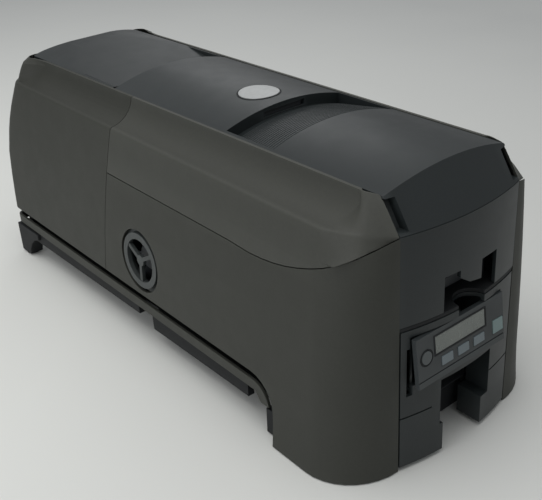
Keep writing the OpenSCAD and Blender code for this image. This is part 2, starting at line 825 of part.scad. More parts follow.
module fan_frame() {
    color([0.08, 0.085, 0.09]) difference() {
        block([-90, fan_y - 35, fan_z - 32.5], [-76, fan_y + 35, fan_z + 35]);
        rod(-91, -78, fan_y, fan_z, 30.5);
        difference() {
            rod(-79, -75, fan_y, fan_z, 30.5);
            rod(-79, -75, fan_y, fan_z, 12);
            for (a = [0, 120, 240]) translate([0, fan_y, fan_z]) rotate([a, 0, 0])
                block([-79, -2.5, 0], [-75, 2.5, 32]);
        }
    }
    color([0.7, 0.7, 0.7]) rod(-86, -77, fan_y, fan_z, 1.5);
    color([0.08, 0.085, 0.09]) for (y = [-30, 30]) for (z = [-28, 30])
        rod(-76, -plate_x - plate_t, fan_y + y, fan_z + z, 3.2);
}

module fan_rotor() {
    color([0.12, 0.12, 0.13]) difference() {
        union() {
            rod(-88, -79, fan_y, fan_z, 11);
            for (a = [0:51.43:350]) translate([-83.5, fan_y, fan_z]) rotate([a, 0, 0])
                rotate([0, 0, 32]) block([-4, -1, 8], [4, 1, 29]);
        }
        rod(-87, -78, fan_y, fan_z, 1.5 + run);
    }
}

module fan_guard() {
    lean = 3.3;
    color([0.3, 0.33, 0.34]) {
        translate([-95, fan_y, fan_z]) rotate([0, lean, 0]) {
            difference() {
                rod(-2.1, 1.8, 0, 0, 25.2);
                rod(-3, 3, 0, 0, 19.5);
            }
            rod(-1.6, 1.6, 0, 0, 5);
            for (a = [60, 180, 300]) rotate([a, 0, 0]) block([-1.6, -1.8, 3], [1.6, 1.8, 21]);
        }
        difference() {
            union() {
                rod(-95.2, -90.1, fan_y, fan_z, 25);
                rod(-91.6, -90.1, fan_y, fan_z, 32);
            }
            rod(-96, -89, fan_y, fan_z, 23);
        }
    }
}

disc_x = 40;

module turner_frame() {
    color([0.35, 0.36, 0.38]) {
        both_sides() difference() {
            rod(disc_x, disc_x + 3, turner_y, path_z, turner_r);
            for (s = [-1, 1]) rod(disc_x - 1, disc_x + 4, turner_y, path_z + s * (turner_roller_r + turner_gap / 2),
                2.5 + run);
            for (s = [-1, 1]) rod(disc_x - 1, disc_x + 4, turner_y + s * 20, path_z + 16, 5);
        }
        both_sides() rod(disc_x + 2.9, plate_x + plate_t + 1, turner_y, path_z, 4);
        both_sides() rod(disc_x + 2.9, plate_x - 0.4, turner_y, path_z, 6);
        for (s = [-1, 1]) rod(-disc_x - 0.1, disc_x + 0.1, turner_y + s * 28, path_z - 9, 2.5);
        for (s = [-1, 1]) rod(-disc_x - 0.1, disc_x + 0.1, turner_y + s * 20, path_z - 20, 2.5);
    }
}

module turner_pair(s) {
    z = path_z + s * (turner_roller_r + turner_gap / 2);
    color([0.1, 0.1, 0.1]) rod(-29, 29, turner_y, z, turner_roller_r);
    color([0.75, 0.75, 0.76]) rod(-disc_x - 2.7, disc_x + 2.7, turner_y, z, 2.5);
}

module turner_roller() {
    turner_pair(-1);
}

module turner_idler() {
    turner_pair(1);
}

module turner_motor() {
    color([0.25, 0.25, 0.27]) {
        rod(-86, -70, turner_y, path_z, 15);
        difference() {
            rod(-70, -plate_x - plate_t - 0.02, turner_y, path_z, 18);
            rod(-71, -60, turner_y, path_z, 5);
        }
    }
}

module lid_band_right() {
    color([0.34, 0.33, 0.31]) intersection() {
        casing(true);
        lid_region(front_half + 0.3, 120);
    }
}

module lid_band_left() {
    color([0.34, 0.33, 0.31]) intersection() {
        casing(true);
        lid_region(-120, -front_half - 0.3);
    }
}

slot_x = 52;
slot_depth = 7;
latch_z = 217.4;

module lid_outline() {
    block([-front_half, -280, slope_z + 0.2], [front_half, lid_rear_y, 240]);
}

module lid_top() {
    color([0.055, 0.06, 0.068]) {
        difference() {
            intersection() {
                crown(crown_r, -300, 100);
                slope_form(slope_bow);
                lid_outline();
            }
            intersection() {
                crown(crown_r - skin, -301, recess_y + skin);
                tilted_crown(crown_r - skin, recess_flush_y, -recess_deg);
                slope_form(slope_bow - skin);
                block([-slot_x + skin, -300, 150], [slot_x - skin, 101, 240]);
            }
            intersection() {
                crown(crown_r - skin, -301, recess_y + skin);
                tilted_crown(crown_r - skin, recess_flush_y, -recess_deg);
                slope_form(slope_bow - slot_depth - skin);
                block([-front_half - 1, -300, 150], [front_half + 1, 101, 240]);
            }
            intersection() {
                crown(crown_r - skin, recess_y + skin, 101);
                block([-front_half - 1, -300, 150], [front_half + 1, 101, 240]);
            }
            difference() {
                block([-recess_half, recess_flush_y - 20, 180], [recess_half, recess_y, 240]);
                tilted_crown(crown_r, recess_flush_y, -recess_deg);
            }
            both_sides() difference() {
                block([slot_x, -270, slope_z + 2], [front_half + 2, -225, rim_z - 2]);
                slope_form(slope_bow - slot_depth);
            }
            block([-20.6, recess_y - 1, 214.4], [20.6, recess_y + skin + 1, 219.2]);
        }
        both_sides() difference() {
            union() {
                rod(40, 44, lid_hinge_y, lid_hinge_z, 2.4);
                block([40, lid_hinge_y - 2.4, lid_hinge_z], [44, lid_hinge_y + 2.4, lid_hinge_z + 2.6]);
            }
            rod(39, 45, lid_hinge_y, lid_hinge_z, 1.25 + run);
        }
        both_sides() difference() {
            block([20.8, recess_y + 1, 212], [24, recess_y + 8, 220]);
            rod(20, 25, recess_y + 4.5, latch_z, 1.2 + run);
        }
    }
}

module latch_paddle() {
    color([0.09, 0.095, 0.1]) {
        side_view(-20, 20, [[recess_y + 3.2, 208], [recess_y + 5.4, 208],
            [recess_y + 5.8, latch_z], [recess_y + 3.2, latch_z]]);
        rod(-23.6, 23.6, recess_y + 4.5, latch_z, 1.2);
        rod(-20, 20, recess_y + 4.5, latch_z, 1.7);
        block([-5, recess_y + 4, 200], [5, recess_y + 6, 209]);
    }
}

module badge() {
    badge_y = -49;
    color([0.92, 0.92, 0.92]) intersection() {
        difference() {
            crown(crown_r + 0.6, -80, 0);
            crown(crown_r + 0.02, -81, 1);
        }
        translate([0, badge_y, 200]) cylinder(h = 30, r = 16.5, $fn = 96);
    }
}

module hinge_brackets() {
    color([0.6, 0.61, 0.62]) both_sides() difference() {
        union() {
            rod(35.4, 39.4, lid_hinge_y, lid_hinge_z, 2.1);
            block([35.4, lid_hinge_y - 6, 183], [39.4, lid_hinge_y + 1.5, lid_hinge_z]);
            block([35.4, lid_hinge_y - 16, 180], [plate_x - 0.02, lid_hinge_y + 14, 183.2]);
        }
        rod(34, 41, lid_hinge_y, lid_hinge_z, 1.25);
    }
}

module hinge_pins() {
    color([0.75, 0.75, 0.76]) both_sides() {
        rod(34.6, 43.6, lid_hinge_y, lid_hinge_z, 1.25);
        rod(54, 64.4, rear_hinge_y, rear_hinge_z, 2.5);
    }
}

round_y = rear_top_y - 17;
round_r = 24;

module rear_round(r) {
    translate([0, round_y, crown_z - round_r]) rotate([0, 90, 0])
        cylinder(h = far, r = r, center = true, $fn = 256);
    block([-far / 2, 0, 100], [far / 2, round_y, 260]);
}

module recess_floor(drop) {
    translate([0, rear_flush_y, crown_z - drop]) rotate([rear_recess_deg, 0, 0])
        block([-far / 2, -far, -far], [far / 2, far, 0]);
}

module rear_cover() {
    color([0.055, 0.06, 0.068]) difference() {
        intersection() {
            crown(crown_r, 60, 300);
            rear_round(round_r);
            block([-barrel_half, rear_cover_y, 199], [barrel_half, rear_top_y, 240]);
        }
        intersection() {
            crown(crown_r - skin, 59, 301);
            recess_floor(skin);
            rear_round(round_r - skin);
        }
        difference() {
            block([-recess_half, rear_cover_y - 1, 180], [recess_half, rear_flush_y + 20, 240]);
            recess_floor(0);
        }
    }
}

module rear_cover_tail() {
    color([0.34, 0.33, 0.31]) {
        intersection() {
            casing(false);
            block([-barrel_half, rear_top_y + 0.3, rear_hinge_z + 4], [barrel_half, 280, 230]);
        }
        both_sides() block([30, 216, 200], [50, 238.6, 202.6]);
        difference() {
            rod(-barrel_half, barrel_half, rear_hinge_y, rear_hinge_z, barrel_r);
            both_sides() rod(53, 61, rear_hinge_y, rear_hinge_z, 2.5 + run);
        }
    }
}

base_pan_front();
base_pan_rear();
skirt_left();
skirt_right();
rubber_feet();
side_front_left();
side_front_right();
rear_shell();
rear_panel();
power_inlet();
data_ports();
front_panel();
lower_front();
display_bezel();
display_window();
power_button();
soft_key_left();
soft_key_middle();
soft_key_right();
user_key();
input_tray();
card_weight();
output_tray();
chassis_left();
chassis_right();
tie_bars();
pick_roller();
feed_roller_front();
platen_roller();
feed_roller_rear();
pinch_roller_front();
pinch_roller_rear();
cleaning_roller();
drive_motor();
motor_pulley();
drive_belt();
exit_gate();
ribbon_frame();
supply_spool();
takeup_spool();
ribbon_film();
printhead_carrier();
printhead();
control_board();
fan_frame();
fan_rotor();
fan_guard();
turner_frame();
turner_roller();
turner_idler();
turner_motor();
lid_band_left();
lid_band_right();
lid_top();
badge();
latch_paddle();
hinge_brackets();
hinge_pins();
rear_cover();
rear_cover_tail();
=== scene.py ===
import json
import math
import bpy
from bpy import ops
from mathutils import Matrix, Vector

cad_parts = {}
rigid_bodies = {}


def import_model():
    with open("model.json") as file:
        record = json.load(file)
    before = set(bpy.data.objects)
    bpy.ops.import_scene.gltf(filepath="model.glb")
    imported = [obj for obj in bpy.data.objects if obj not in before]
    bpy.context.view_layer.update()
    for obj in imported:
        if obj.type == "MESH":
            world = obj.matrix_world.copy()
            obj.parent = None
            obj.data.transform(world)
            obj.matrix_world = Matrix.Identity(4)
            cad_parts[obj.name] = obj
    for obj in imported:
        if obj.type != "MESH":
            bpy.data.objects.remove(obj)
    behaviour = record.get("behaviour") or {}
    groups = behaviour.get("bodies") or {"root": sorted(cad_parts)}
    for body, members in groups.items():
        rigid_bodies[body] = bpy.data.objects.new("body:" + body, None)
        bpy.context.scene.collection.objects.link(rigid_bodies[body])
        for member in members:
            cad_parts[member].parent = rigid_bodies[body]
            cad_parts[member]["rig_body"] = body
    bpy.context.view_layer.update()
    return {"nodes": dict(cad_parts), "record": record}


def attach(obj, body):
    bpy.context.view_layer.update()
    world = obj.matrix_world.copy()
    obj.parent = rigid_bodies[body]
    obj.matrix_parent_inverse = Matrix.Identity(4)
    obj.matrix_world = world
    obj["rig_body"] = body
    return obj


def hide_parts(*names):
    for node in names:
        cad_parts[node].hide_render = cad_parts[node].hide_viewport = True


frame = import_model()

nodes = frame["nodes"]
print("card printer: frame loaded,", len(nodes), "nodes")


# selecting and finishing, as by hand

def dropSelection():
    if bpy.context.object and bpy.context.object.mode != "OBJECT":
        ops.object.mode_set(mode="OBJECT")
    ops.object.select_all(action="DESELECT")


def takeOnly(piece):
    dropSelection()
    piece.select_set(True)
    bpy.context.view_layer.objects.active = piece


def editAll(piece):
    takeOnly(piece)
    ops.object.mode_set(mode="EDIT")
    ops.mesh.select_mode(type="FACE")
    ops.mesh.select_all(action="SELECT")


def pickFaces(piece, test):
    # faces are chosen by centre and normal, then the edit goes on
    ops.object.mode_set(mode="OBJECT")
    for face in piece.data.polygons:
        face.select = test(face.center, face.normal)
    for edge in piece.data.edges:
        edge.select = False
    for point in piece.data.vertices:
        point.select = False
    ops.object.mode_set(mode="EDIT")
    ops.mesh.select_mode(type="FACE")


def settle(piece):
    # place goes into the mesh, the object stays at the origin
    takeOnly(piece)
    ops.object.transform_apply(location=True, rotation=True, scale=True)


def roundEdges(piece, width, angle, segments=2):
    takeOnly(piece)
    bevel = piece.modifiers.new("edges", "BEVEL")
    bevel.width = width
    bevel.segments = segments
    bevel.limit_method = "ANGLE"
    bevel.angle_limit = math.radians(angle)
    bevel.use_clamp_overlap = True
    ops.object.modifier_apply(modifier=bevel.name)


def smoothOff(piece, angle, weigh=True):
    takeOnly(piece)
    ops.object.shade_smooth_by_angle(angle=math.radians(angle))
    if weigh:
        normals = piece.modifiers.new("normals", "WEIGHTED_NORMAL")
        normals.keep_sharp = True
        normals.weight = 60
        ops.object.modifier_apply(modifier=normals.name)


def finishPiece(piece, name, body, look, replaces=()):
    piece.name = name
    piece.data.name = name
    piece.data.materials.clear()
    piece.data.materials.append(look)
    settle(piece)
    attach(piece, body)
    for node in replaces:
        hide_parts(node)
    return piece


def joinAll(pieces):
    dropSelection()
    for piece in pieces:
        piece.select_set(True)
    bpy.context.view_layer.objects.active = pieces[0]
    ops.object.join()
    return pieces[0]


def bodyOf(node):
    return nodes[node]["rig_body"]


# materials

def newMaterial(name):
    look = bpy.data.materials.new(name)
    look.use_nodes = True
    tree = look.node_tree
    shader = tree.nodes["Principled BSDF"]
    coords = tree.nodes.new("ShaderNodeTexCoord")
    return look, tree, shader, coords.outputs["Object"]


def stretched(tree, coords, scale):
    mapping = tree.nodes.new("ShaderNodeMapping")
    mapping.inputs["Scale"].default_value = scale
    tree.links.new(coords, mapping.inputs["Vector"])
    return mapping.outputs["Vector"]


def noise(tree, coords, scale, detail=2.0):
    node = tree.nodes.new("ShaderNodeTexNoise")
    node.inputs["Scale"].default_value = scale
    node.inputs["Detail"].default_value = detail
    tree.links.new(coords, node.inputs["Vector"])
    return node.outputs["Fac"]


def ranged(tree, value, low, high, fromLow=0.3, fromHigh=0.7):
    node = tree.nodes.new("ShaderNodeMapRange")
    node.inputs["From Min"].default_value = fromLow
    node.inputs["From Max"].default_value = fromHigh
    node.inputs["To Min"].default_value = low
    node.inputs["To Max"].default_value = high
    tree.links.new(value, node.inputs["Value"])
    return node.outputs["Result"]


def blended(tree, amount, first, second):
    node = tree.nodes.new("ShaderNodeMix")
    node.data_type = "RGBA"
    for socket, colour in ((node.inputs[6], first), (node.inputs[7], second)):
        if isinstance(colour, (tuple, list)):
            socket.default_value = (*colour, 1.0)
        else:
            tree.links.new(colour, socket)
    tree.links.new(amount, node.inputs[0])
    return node.outputs[2]


def bumped(tree, shader, height, strength, distance):
    node = tree.nodes.new("ShaderNodeBump")
    node.inputs["Strength"].default_value = strength
    node.inputs["Distance"].default_value = distance
    tree.links.new(height, node.inputs["Height"])
    tree.links.new(node.outputs["Normal"], shader.inputs["Normal"])


def worn(tree, colour, edgeColour, amount, start, end):
    # convex edges rub a little lighter
    shape = tree.nodes.new("ShaderNodeNewGeometry")
    edge = ranged(tree, shape.outputs["Pointiness"], 0.0, amount, start, end)
    return blended(tree, edge, colour, edgeColour)


def shaded(tone, factor, lift=0.0):
    # the same colour, darker or lighter
    return tuple(min(1, c * factor + lift) for c in tone)


def painted(tree, shader, colour):
    tree.links.new(colour, shader.inputs["Base Color"])


def dulled(tree, shader, pattern, low, high):
    # the roughness follows a pattern between two values
    tree.links.new(ranged(tree, pattern, low, high), shader.inputs["Roughness"])


def coated(shader, weight, rough):
    shader.inputs["Coat Weight"].default_value = weight
    shader.inputs["Coat Roughness"].default_value = rough


mouldedFinishes = {
    # tone: colour as written; drift: how far patches stray from it
    # grain: scale of the etched texture, per metre; depth: its height in metres
    "taupeMoulding": {"tone": (0.0300, 0.0312, 0.0260), "drift": 0.015, "rough": 0.56, "grain": 1500,
                      "depth": 0.00005, "specular": 0.34},
    # the lid bands' copy of the taupe moulding is painted lighter, as painted light for the light they catch
    "taupeBand": {"tone": (0.0415, 0.0428, 0.0368), "drift": 0.015, "rough": 0.56, "grain": 1500,
                  "depth": 0.00005, "specular": 0.34},
    "blackMoulding": {"tone": (0.0140, 0.0175, 0.0184), "drift": 0.02, "rough": 0.38, "grain": 1800,
                      "depth": 0.00004, "specular": 0.36},
    "innerBlack": {"tone": (0.010, 0.011, 0.012), "drift": 0.06, "rough": 0.6, "grain": 1300,
                   "depth": 0.00005, "specular": 0.2},
    "bezelPlastic": {"tone": (0.026, 0.0305, 0.0325), "drift": 0.04, "rough": 0.46, "grain": 2200,
                     "depth": 0.00003, "specular": 0.45},
    "keyPlain": {"tone": (0.052, 0.060, 0.062), "drift": 0.04, "rough": 0.42, "grain": 2400, "depth": 0.00002,
                 "specular": 0.5},
    "keySoft": {"tone": (0.105, 0.128, 0.140), "drift": 0.05, "rough": 0.45, "grain": 2400, "depth": 0.00002,
                "specular": 0.5},
    "keyTeal": {"tone": (0.125, 0.175, 0.175), "drift": 0.05, "rough": 0.42, "grain": 2400, "depth": 0.00002,
                "specular": 0.5},
    "keyDark": {"tone": (0.030, 0.033, 0.036), "drift": 0.06, "rough": 0.48, "grain": 2000, "depth": 0.00003,
                "specular": 0.45},
    "guardGrey": {"tone": (0.036, 0.041, 0.041), "drift": 0.05, "rough": 0.45, "grain": 1700,
                  "depth": 0.00004, "specular": 0.4},
    "whiteNylon": {"tone": (0.62, 0.60, 0.55), "drift": 0.05, "rough": 0.38, "grain": 1200, "depth": 0.00002,
                   "specular": 0.5},
    "footRubber": {"tone": (0.016, 0.016, 0.017), "drift": 0.2, "rough": 0.85, "grain": 900, "depth": 0.0001,
                   "specular": 0.25},
    "rollerRubber": {"tone": (0.035, 0.034, 0.034), "drift": 0.2, "rough": 0.72, "grain": 1100,
                     "depth": 0.00006, "specular": 0.35},
    "ceramicHead": {"tone": (0.66, 0.63, 0.54), "drift": 0.05, "rough": 0.3, "grain": 2500, "depth": 0.00001,
                    "specular": 0.55},
}

mouldedSurface = {
    # patches, flecks and dull: pattern scales, per metre; each edge: where its pattern starts and ends
    "patches": 16, "patchEdge": (0.35, 0.65), "flecks": 420, "fleckEdge": (0.42, 0.72), "fleckTone": 1.25,
    "fleckAmount": 0.35, "wornEdge": (0.51, 0.6), "wornTone": 1.7, "wornLift": 0.01, "wornAmount": 0.5,
    "dull": 60, "glossier": 0.02, "duller": 0.03, "bump": 0.55}


def mouldedMaterial(name, f):
    look, tree, shader, coords = newMaterial(name)
    m = mouldedSurface
    tone = f["tone"]
    patches = ranged(tree, noise(tree, coords, m["patches"], 3), 0.0, 1.0, *m["patchEdge"])
    colour = blended(tree, patches, shaded(tone, 1 - f["drift"]), shaded(tone, 1 + f["drift"]))
    flecks = ranged(tree, noise(tree, coords, m["flecks"]), 0.0, m["fleckAmount"], *m["fleckEdge"])
    colour = blended(tree, flecks, colour, shaded(tone, m["fleckTone"]))
    rubbed = shaded(tone, m["wornTone"], m["wornLift"])
    painted(tree, shader, worn(tree, colour, rubbed, m["wornAmount"], *m["wornEdge"]))
    dull = noise(tree, coords, m["dull"], 3)
    dulled(tree, shader, dull, f["rough"] - m["glossier"], f["rough"] + m["duller"])
    shader.inputs["Specular IOR Level"].default_value = f["specular"]
    bumped(tree, shader, noise(tree, coords, f["grain"], 1), m["bump"], f["depth"])
    return look


metalFinishes = {
    # stretch: the brushing runs along the axis with the small number
    "sheetSteel": {"tone": (0.50, 0.51, 0.52), "rough": 0.38, "stretch": (300, 14, 300), "depth": 0.00002},
    "brightSteel": {"tone": (0.62, 0.62, 0.63), "rough": 0.24, "stretch": (20, 600, 600), "depth": 0.00001},
    "platedShell": {"tone": (0.58, 0.58, 0.57), "rough": 0.28, "stretch": (60, 500, 500), "depth": 0.00001},
    "motorCase": {"tone": (0.09, 0.09, 0.10), "rough": 0.42, "stretch": (40, 400, 400), "depth": 0.00001},
    "castAluminium": {"tone": (0.36, 0.37, 0.38), "rough": 0.52, "stretch": (260, 260, 260),
                      "depth": 0.00008},
}

metalSurface = {"patches": 40, "patchTone": 0.86, "lineTone": 1.18, "lineAmount": 0.4, "glossier": 0.08,
                "duller": 0.1, "bump": 0.4}


def metalMaterial(name, f):
    look, tree, shader, coords = newMaterial(name)
    m = metalSurface
    tone = f["tone"]
    lines = noise(tree, stretched(tree, coords, f["stretch"]), 1.0, 4)
    patches = ranged(tree, noise(tree, coords, m["patches"]), 0.0, 1.0)
    colour = blended(tree, patches, shaded(tone, m["patchTone"]), tone)
    brushing = ranged(tree, lines, 0.0, m["lineAmount"])
    painted(tree, shader, blended(tree, brushing, colour, shaded(tone, m["lineTone"])))
    dulled(tree, shader, lines, f["rough"] - m["glossier"], f["rough"] + m["duller"])
    shader.inputs["Metallic"].default_value = 1.0
    bumped(tree, shader, lines, m["bump"], f["depth"])
    return look


ribbonPanels = {
    # sets: how many sets of four panels there are to a metre
    "sets": 14.0, "yellow": (0.62, 0.50, 0.06), "red": (0.42, 0.05, 0.16), "blue": (0.03, 0.20, 0.38),
    "dark": (0.02, 0.02, 0.022), "ripple": (30, 300, 300), "rough": (0.14, 0.26), "bump": (0.3, 0.0001)}


def ribbonMaterial():
    look, tree, shader, coords = newMaterial("ribbonFilm")
    split = tree.nodes.new("ShaderNodeSeparateXYZ")
    tree.links.new(coords, split.inputs["Vector"])
    along = tree.nodes.new("ShaderNodeMath")
    along.operation = "MULTIPLY"
    along.inputs[1].default_value = ribbonPanels["sets"]
    tree.links.new(split.outputs["Y"], along.inputs[0])
    turn = tree.nodes.new("ShaderNodeMath")
    turn.operation = "FRACT"
    tree.links.new(along.outputs[0], turn.inputs[0])
    ramp = tree.nodes.new("ShaderNodeValToRGB")
    ramp.color_ramp.interpolation = "CONSTANT"
    stops = (("dark", 0.0), ("yellow", 0.25), ("red", 0.5), ("blue", 0.75))
    for place, (tint, at) in enumerate(stops):
        stop = ramp.color_ramp.elements[place] if place < 2 else ramp.color_ramp.elements.new(at)
        stop.position = at
        stop.color = (*ribbonPanels[tint], 1)
    tree.links.new(turn.outputs[0], ramp.inputs["Fac"])
    painted(tree, shader, ramp.outputs["Color"])
    ripple = noise(tree, stretched(tree, coords, ribbonPanels["ripple"]), 1.0)
    dulled(tree, shader, ripple, *ribbonPanels["rough"])
    bumped(tree, shader, ripple, *ribbonPanels["bump"])
    return look


boardLook = {"mask": (0.012, 0.10, 0.045), "track": (0.03, 0.20, 0.09), "cells": 190,
             "trackEdge": (0.42, 0.5), "dull": 200, "rough": (0.25, 0.45), "bump": (0.35, 0.00005)}


def boardMaterial():
    look, tree, shader, coords = newMaterial("boardGreen")
    cells = tree.nodes.new("ShaderNodeTexVoronoi")
    cells.distance = "MANHATTAN"
    cells.feature = "F1"
    cells.inputs["Scale"].default_value = boardLook["cells"]
    tree.links.new(coords, cells.inputs["Vector"])
    tracks = ranged(tree, cells.outputs["Distance"], 0.0, 1.0, *boardLook["trackEdge"])
    painted(tree, shader, blended(tree, tracks, boardLook["mask"], boardLook["track"]))
    dulled(tree, shader, noise(tree, coords, boardLook["dull"]), *boardLook["rough"])
    bumped(tree, shader, tracks, *boardLook["bump"])
    return look


beltLook = {"tone": (0.014, 0.014, 0.015), "dust": (0.028, 0.028, 0.03), "specks": 300, "teeth": 60,
            "dull": 120, "rough": (0.7, 0.85), "bump": (0.5, 0.0004)}


def beltMaterial():
    look, tree, shader, coords = newMaterial("beltRubber")
    teeth = tree.nodes.new("ShaderNodeTexWave")
    teeth.bands_direction = "Y"
    teeth.inputs["Scale"].default_value = beltLook["teeth"]
    tree.links.new(coords, teeth.inputs["Vector"])
    dust = ranged(tree, noise(tree, coords, beltLook["specks"]), 0.0, 1.0)
    painted(tree, shader, blended(tree, dust, beltLook["tone"], beltLook["dust"]))
    dulled(tree, shader, noise(tree, coords, beltLook["dull"]), *beltLook["rough"])
    bumped(tree, shader, teeth.outputs["Fac"], *beltLook["bump"])
    return look


badgeLook = {"tone": (0.315, 0.325, 0.325), "patches": 90, "patchTone": 0.94, "dull": 300,
             "rough": (0.34, 0.48), "coat": (0.3, 0.2), "grain": 1600, "bump": (0.3, 0.00002)}


def badgeMaterial():
    look, tree, shader, coords = newMaterial("whiteBadge")
    tone = badgeLook["tone"]
    patches = ranged(tree, noise(tree, coords, badgeLook["patches"], 3), 0.0, 1.0)
    painted(tree, shader, blended(tree, patches, shaded(tone, badgeLook["patchTone"]), tone))
    dulled(tree, shader, noise(tree, coords, badgeLook["dull"]), *badgeLook["rough"])
    coated(shader, *badgeLook["coat"])
    bumped(tree, shader, noise(tree, coords, badgeLook["grain"], 1), *badgeLook["bump"])
    return look


screenLook = {
    # the glass carries painted shade: it is lightest at the first height and darkest at the second, in
    # metres; dark is both the colour of the gaps between cells and that of the painted shade
    "tone": (0.135, 0.150, 0.135), "dark": (0.085, 0.095, 0.088), "paintedShade": (0.106, 0.091),
    "paintedShadeAmount": 0.5, "cells": 900, "gap": 0.04, "cellTone": 0.96, "clouds": 60, "cloudTone": 1.25,
    "cloudAmount": 0.25, "dull": 200, "rough": (0.2, 0.3), "coat": (0.5, 0.08)}


def screenMaterial():
    # a blank display: a fine grid of cells
    look, tree, shader, coords = newMaterial("displayGlass")
    split = tree.nodes.new("ShaderNodeSeparateXYZ")
    tree.links.new(coords, split.inputs["Vector"])
    cells = tree.nodes.new("ShaderNodeTexBrick")
    cells.offset = 0.0
    cells.inputs["Scale"].default_value = screenLook["cells"]
    cells.inputs["Mortar Size"].default_value = screenLook["gap"]
    cells.inputs["Color1"].default_value = (*screenLook["tone"], 1)
    cells.inputs["Color2"].default_value = (*shaded(screenLook["tone"], screenLook["cellTone"]), 1)
    cells.inputs["Mortar"].default_value = (*screenLook["dark"], 1)
    join = tree.nodes.new("ShaderNodeCombineXYZ")
    tree.links.new(split.outputs["X"], join.inputs["X"])
    tree.links.new(split.outputs["Z"], join.inputs["Y"])
    tree.links.new(join.outputs["Vector"], cells.inputs["Vector"])
    # painted shade: the glass is darkened towards its bottom
    paintedShade = ranged(tree, split.outputs["Z"], 0.0, screenLook["paintedShadeAmount"], *screenLook["paintedShade"])
    colour = blended(tree, paintedShade, cells.outputs["Color"], screenLook["dark"])
    clouds = ranged(tree, noise(tree, coords, screenLook["clouds"]), 0.0, screenLook["cloudAmount"])
    painted(tree, shader, blended(tree, clouds, colour, shaded(screenLook["tone"], screenLook["cloudTone"])))
    dulled(tree, shader, noise(tree, coords, screenLook["dull"]), *screenLook["rough"])
    coated(shader, *screenLook["coat"])
    return look


looks = {name: mouldedMaterial(name, f) for name, f in mouldedFinishes.items()}
looks.update({name: metalMaterial(name, f) for name, f in metalFinishes.items()})
looks["ribbonFilm"] = ribbonMaterial()
looks["boardGreen"] = boardMaterial()
looks["beltRubber"] = beltMaterial()
looks["whiteBadge"] = badgeMaterial()
looks["displayGlass"] = screenMaterial()
print("materials made:", len(looks))

slotLooks = {
    # material slot in the record: look
    "taupe_moulding": "taupeMoulding", "black_moulding": "blackMoulding", "foot_rubber": "footRubber",
    "plated_shell": "platedShell", "bezel_plastic": "bezelPlastic", "display_glass": "displayGlass",
    "key_grey": "keyPlain", "key_dark": "keyDark", "sheet_steel": "sheetSteel", "bright_steel": "brightSteel",
    "roller_rubber": "rollerRubber", "motor_case": "motorCase", "white_nylon": "whiteNylon",
    "ribbon": "ribbonFilm", "cast_aluminium": "castAluminium", "ceramic_head": "ceramicHead",
    "board_green": "boardGreen", "guard_grey": "guardGrey", "white_badge": "whiteBadge"}
slotOf = {part["node"]: part["material_slot"] for part in frame["record"]["subparts"]}
otherLooks = {
    # nodes whose look differs from that of their slot
    "drive_belt": "beltRubber", "user_key": "keyTeal", "soft_key_left": "keySoft",
    # the lid bands get the taupe moulding painted lighter, as painted light
    "soft_key_middle": "keySoft", "soft_key_right": "keySoft", "lid_band_left": "taupeBand",
    "lid_band_right": "taupeBand", "base_pan_front": "innerBlack", "base_pan_rear": "innerBlack",
    "input_tray": "innerBlack", "output_tray": "innerBlack", "ribbon_frame": "innerBlack",
    "fan_frame": "innerBlack"}


def lookOf(node):
    return looks[otherLooks.get(node, slotLooks[slotOf[node]])]


for node, part in nodes.items():
    for slot in part.material_slots:
        slot.material = lookOf(node)


# moulded parts: copies of the CAD nodes with their edges rounded

softEdges = {
    # node: edge radius in mm, edges sharper than this many degrees are rounded, smoothing angle
    "side_front_left": (0.5, 40, 32), "side_front_right": (0.5, 40, 32), "rear_shell": (0.5, 40, 32),
    "lid_band_left": (0.5, 40, 32), "lid_band_right": (0.5, 40, 32), "rear_cover_tail": (0.5, 40, 32),
    "skirt_left": (0.4, 40, 35), "skirt_right": (0.4, 40, 35),
    "lid_top": (0.7, 25, 35), "rear_cover": (0.7, 25, 35), "front_panel": (0.6, 30, 35),
    "lower_front": (0.6, 30, 35), "display_bezel": (0.5, 30, 40), "rear_panel": (0.5, 30, 40),
    "power_inlet": (0.4, 30, 40), "data_ports": (0.25, 30, 40), "power_button": (0.5, 30, 40),
    "soft_key_left": (0.45, 30, 40), "soft_key_middle": (0.45, 30, 40), "soft_key_right": (0.45, 30, 40),
    "user_key": (0.6, 30, 40), "input_tray": (0.4, 30, 40), "output_tray": (0.4, 30, 40),
    "card_weight": (0.6, 30, 40), "base_pan_front": (0.8, 30, 40), "base_pan_rear": (0.8, 30, 40),
    "rubber_feet": (0.5, 30, 40), "fan_guard": (0.7, 30, 40), "fan_frame": (0.4, 30, 40),
    "badge": (0.3, 30, 40), "latch_paddle": (0.4, 30, 40), "exit_gate": (0.3, 30, 40),
    "ribbon_frame": (0.4, 30, 40), "printhead_carrier": (0.5, 30, 40), "printhead": (0.3, 30, 40),
    "turner_frame": (0.3, 30, 40), "hinge_brackets": (0.3, 30, 40), "drive_motor": (0.4, 30, 40),
    "turner_motor": (0.4, 30, 40),
}

cleanUp = {
    # weld: in mm; flat: in degrees; the flat faces of the last two have holes, so they aren't dissolved
    "weld": 0.004, "flat": 0.08, "notDissolved": ("base_pan_front", "base_pan_rear")}


